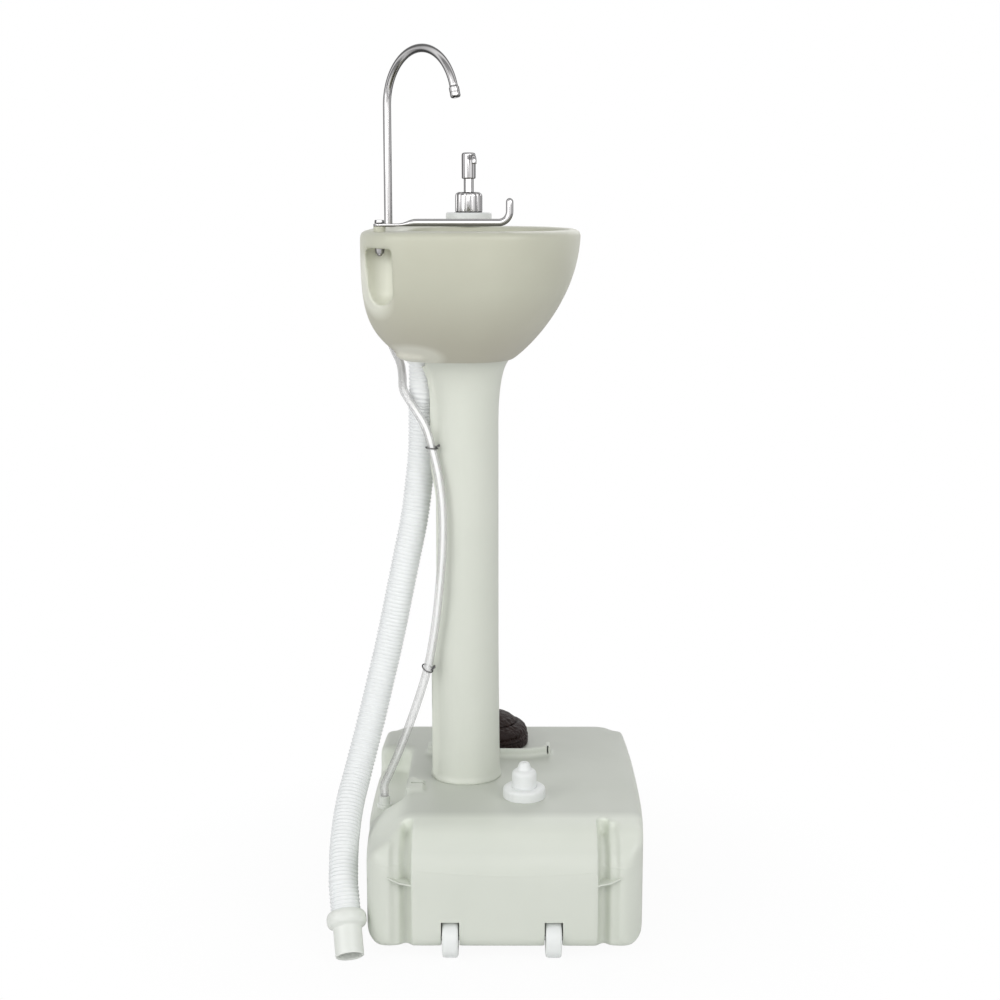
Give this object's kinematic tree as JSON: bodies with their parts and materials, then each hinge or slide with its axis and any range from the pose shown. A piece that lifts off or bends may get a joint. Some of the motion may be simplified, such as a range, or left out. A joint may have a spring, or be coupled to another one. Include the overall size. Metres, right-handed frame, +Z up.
{
  "type": "camp wash stand",
  "caption": "Free-standing camp wash stand: basin with gooseneck faucet, soap pump and towel rail on a column over a wheeled water tank with foot pump and drain hose.",
  "frame": {"origin": "on the floor under the middle of the stand's footprint", "axes": "+Z up, -Y towards the user, -X towards the wheeled end"},
  "size_m": [0.4386, 0.3652, 1.02],
  "materials": {
    "tank_plastic": "satin, blow moulded",
    "basin_plastic": "satin, blow moulded",
    "white_plastic": "satin",
    "milky_plastic": "satin, slightly translucent",
    "clear_plastic": "clear, glossy",
    "hose_plastic": "milky, ribbed",
    "chrome": "polished",
    "steel": "bright",
    "wire": "dull",
    "rubber": "matte, grained"
  },
  "bodies": {
    "root": {"tank_shell": "tank_plastic", "wheel_axles": "steel", "column": "tank_plastic", "basin": "basin_plastic", "drain_strainer": "chrome", "drain_spigot": "white_plastic", "drain_hose": "hose_plastic", "hose_adapter": "milky_plastic", "water_tube": "clear_plastic", "tube_fitting": "milky_plastic", "delivery_tube": "clear_plastic", "wire_tie_upper": "wire", "wire_tie_lower": "wire", "faucet_washer": "rubber", "faucet_nut": "steel", "towel_bolt": "chrome", "towel_washer": "basin_plastic", "towel_nut": "steel", "soap_bottle": "clear_plastic", "soap_flange": "white_plastic", "soap_collar": "chrome", "soap_barrel": "white_plastic", "soap_spring": "steel", "soap_dip_tube": "clear_plastic", "pump_base": "rubber", "pump_bellows": "rubber", "pump_spring": "steel", "inlet_valve": "white_plastic", "outlet_valve": "white_plastic", "suction_tube": "clear_plastic", "suction_strainer": "white_plastic", "cap_gasket": "rubber"},
    "wheel_rear_body": {"wheel_rear": "white_plastic"},
    "wheel_front_body": {"wheel_front": "white_plastic"},
    "faucet": {"faucet_tube": "chrome", "faucet_nozzle": "chrome", "faucet_barb": "steel"},
    "rail": {"towel_rail": "chrome"},
    "soap_plunger": {"soap_stem": "chrome"},
    "soap_spout": {"soap_head": "chrome"},
    "foot_pump": {"pump_crown": "rubber"},
    "cap_lifter": {"cap_insert": "white_plastic"},
    "cap_screw": {"cap_ring": "white_plastic"}
  },
  "joints": [
    {"name": "wheel_rear_spin", "type": "hinge", "parent": "root", "child": "wheel_rear_body", "pos_m": [-0.193, 0.061, 0.022], "axis": [0, 1, 0], "continuous": true},
    {"name": "wheel_front_spin", "type": "hinge", "parent": "root", "child": "wheel_front_body", "pos_m": [-0.193, -0.055, 0.022], "axis": [0, 1, 0], "continuous": true},
    {"name": "faucet_swivel", "type": "hinge", "parent": "root", "child": "faucet", "pos_m": [0.128, 0.1435, 0.806], "axis": [0, 0, 1], "range_deg": [-42, 48]},
    {"name": "rail_swing", "type": "hinge", "parent": "root", "child": "rail", "pos_m": [-0.136, 0.135, 0.8115], "axis": [0, 0, 1], "range_deg": [-90, 0]},
    {"name": "soap_press", "type": "slide", "parent": "root", "child": "soap_plunger", "axis": [0, 0, -1], "range_m": [0, 0.014], "stiffness_N_per_m": 300, "springref_m": -0.01, "deforming": ["soap_spring"]},
    {"name": "soap_head_turn", "type": "hinge", "parent": "soap_plunger", "child": "soap_spout", "pos_m": [0.152, 0.045, 0.864], "axis": [0, 0, 1], "range_deg": [-60, 60]},
    {"name": "pump_press", "type": "slide", "parent": "root", "child": "foot_pump", "axis": [0, 0, -1], "range_m": [0, 0.012], "stiffness_N_per_m": 1500, "springref_m": -0.008, "deforming": ["pump_bellows", "pump_spring"]},
    {"name": "cap_turn", "type": "hinge", "parent": "cap_lifter", "child": "cap_screw", "pos_m": [-0.08, -0.023, 0.15], "axis": [0, 0, 1], "range_deg": [0, 900]},
    {"name": "cap_lift", "type": "slide", "parent": "root", "child": "cap_lifter", "axis": [0, 0, 1], "range_m": [0, 0.0076]}
  ],
  "couplings": [
    {"joint": "cap_lift", "follows": "cap_turn", "m_per_rad": 0.00047746}
  ]
}
